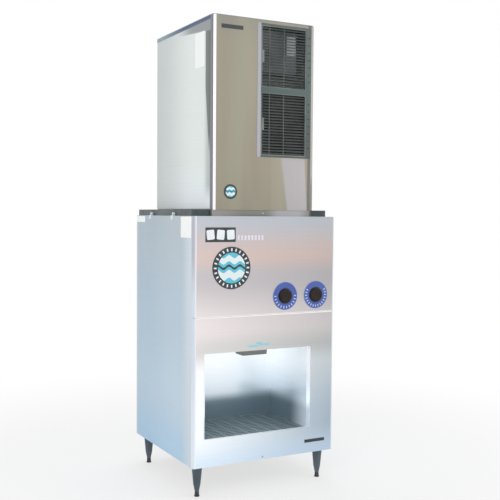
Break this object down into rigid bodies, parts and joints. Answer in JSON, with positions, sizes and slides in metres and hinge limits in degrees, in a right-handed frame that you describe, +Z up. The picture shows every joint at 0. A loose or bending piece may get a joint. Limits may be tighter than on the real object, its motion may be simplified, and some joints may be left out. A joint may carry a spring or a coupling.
{
  "type": "ice and water dispenser",
  "caption": "Floor-standing steel cabinet with an alcove, push buttons and tapered legs that dispenses ice and water, with a louvred cube ice maker stacked on top.",
  "frame": {"origin": "centre of the bounding box on the floor under the feet", "axes": "+Z up, -Y out of the front with the alcove and buttons, +X to the right seen from the front"},
  "size_m": [0.779, 0.772, 2.289],
  "materials": {
    "brushed_front": "brushed along the width, satin",
    "brushed_side": "satin, blue-grey reflections",
    "maker_front_steel": "brushed, warm taupe",
    "maker_side_steel": "satin",
    "polished_liner": "near mirror",
    "grille_steel": "satin, punched",
    "galvanised": "dull sheet",
    "chute_metal": "satin",
    "ring_blue": "gloss film",
    "cap_black": "satin moulded",
    "foam_grey": "moulded liner",
    "bush_white": "moulded",
    "motor_dark": "satin paint",
    "plain_steel": "bright",
    "switch_black": "moulded",
    "pipe_white": "extruded",
    "brass_fitting": "machined",
    "gland_black": "moulded",
    "badge_face": "gloss film",
    "leg_slate": "satin",
    "foot_dark": "moulded over a steel screw",
    "strip_black": "satin black",
    "clip_white": "moulded",
    "louvre_grey": "satin dark",
    "fin_aluminium": "thin fins",
    "fan_plastic": "moulded",
    "box_white": "satin"
  },
  "bodies": {
    "dispenser": {"alcove_liner": "polished_liner", "back_panel": "brushed_side", "base_pan": "galvanised", "bulkhead": "bush_white", "button_guides": "switch_black", "button_switches": "switch_black", "compressor": "motor_dark", "condenser": "fin_aluminium", "control_box": "box_white", "drain_fitting": "brass_fitting", "drain_pipe": "pipe_white", "drip_grille": "grille_steel", "drip_tray": "grille_steel", "evaporator": "plain_steel", "fan_motor": "motor_dark", "fan_shroud": "galvanised", "filler_strips": "strip_black", "front_badges": "badge_face", "gate_solenoid": "galvanised", "gear_motor": "motor_dark", "grille_frame": "louvre_grey", "ice_bin": "foam_grey", "ice_button_ring": "ring_blue", "ice_chute": "chute_metal", "left_side_panel": "brushed_side", "legs": "leg_slate", "lower_front_panel": "brushed_front", "maker_back": "maker_side_steel", "maker_base": "galvanised", "maker_front_panel": "maker_front_steel", "maker_left_side": "maker_side_steel", "maker_right_side": "maker_side_steel", "maker_top": "maker_side_steel", "power_gland": "gland_black", "right_side_panel": "brushed_side", "shaft_bushes": "bush_white", "strip_clips": "clip_white", "top_deck": "galvanised", "upper_front_panel": "brushed_front", "water_button_ring": "ring_blue", "water_inlet": "brass_fitting", "water_nozzle": "bush_white", "water_pipe": "pipe_white", "water_pump": "bush_white", "water_trough": "bush_white", "water_valve": "switch_black"},
    "ice_button_body": {"ice_button": "cap_black"},
    "water_button_body": {"water_button": "cap_black"},
    "dispensing_wheel": {"agitator": "plain_steel"},
    "gate": {"chute_gate": "chute_metal", "gate_shaft": "chute_metal"},
    "plunger": {"solenoid_plunger": "plain_steel"},
    "fan": {"condenser_fan": "fan_plastic"},
    "curtain": {"water_curtain": "bush_white"},
    "upper_air_louvre": {"upper_louvre": "louvre_grey"},
    "lower_air_louvre": {"lower_louvre": "louvre_grey"},
    "foot_front_left": {"front_left_foot": "foot_dark"},
    "foot_front_right": {"front_right_foot": "foot_dark"},
    "foot_rear_left": {"rear_left_foot": "foot_dark"},
    "foot_rear_right": {"rear_right_foot": "foot_dark"}
  },
  "joints": [
    {"name": "ice_button_push", "type": "slide", "parent": "dispenser", "child": "ice_button_body", "axis": [0, 1, 0], "range_m": [0, 0.005], "stiffness_N_per_m": 600, "springref_m": -0.002},
    {"name": "water_button_push", "type": "slide", "parent": "dispenser", "child": "water_button_body", "axis": [0, 1, 0], "range_m": [0, 0.005], "stiffness_N_per_m": 600, "springref_m": -0.002},
    {"name": "wheel_spin", "type": "hinge", "parent": "dispenser", "child": "dispensing_wheel", "pos_m": [-0.038, 0, 0.9], "axis": [0, 1, 0], "continuous": true},
    {"name": "gate_swing", "type": "hinge", "parent": "dispenser", "child": "gate", "pos_m": [-0.038, -0.256, 1.018], "axis": [-1, 0, 0], "range_deg": [0, 35]},
    {"name": "plunger_slide", "type": "slide", "parent": "dispenser", "child": "plunger", "axis": [0, 0, 1], "range_m": [0, 0.0186]},
    {"name": "fan_spin", "type": "hinge", "parent": "dispenser", "child": "fan", "pos_m": [0.126, -0.25, 1.795], "axis": [0, 1, 0], "continuous": true},
    {"name": "curtain_swing", "type": "hinge", "parent": "dispenser", "child": "curtain", "pos_m": [-0.072, 0, 2.208], "axis": [0, 1, 0], "range_deg": [0, 30]},
    {"name": "upper_louvre_pull", "type": "slide", "parent": "dispenser", "child": "upper_air_louvre", "axis": [0, -1, 0], "range_m": [0, 0.03]},
    {"name": "lower_louvre_pull", "type": "slide", "parent": "dispenser", "child": "lower_air_louvre", "axis": [0, -1, 0], "range_m": [0, 0.03]},
    {"name": "front_left_foot_height", "type": "slide", "parent": "dispenser", "child": "foot_front_left", "axis": [0, 0, -1], "range_m": [0, 0.02]},
    {"name": "front_right_foot_height", "type": "slide", "parent": "dispenser", "child": "foot_front_right", "axis": [0, 0, -1], "range_m": [0, 0.02]},
    {"name": "rear_left_foot_height", "type": "slide", "parent": "dispenser", "child": "foot_rear_left", "axis": [0, 0, -1], "range_m": [0, 0.02]},
    {"name": "rear_right_foot_height", "type": "slide", "parent": "dispenser", "child": "foot_rear_right", "axis": [0, 0, -1], "range_m": [0, 0.02]}
  ],
  "couplings": [
    {"joint": "plunger_slide", "follows": "gate_swing", "m_per_rad": 0.0292}
  ]
}
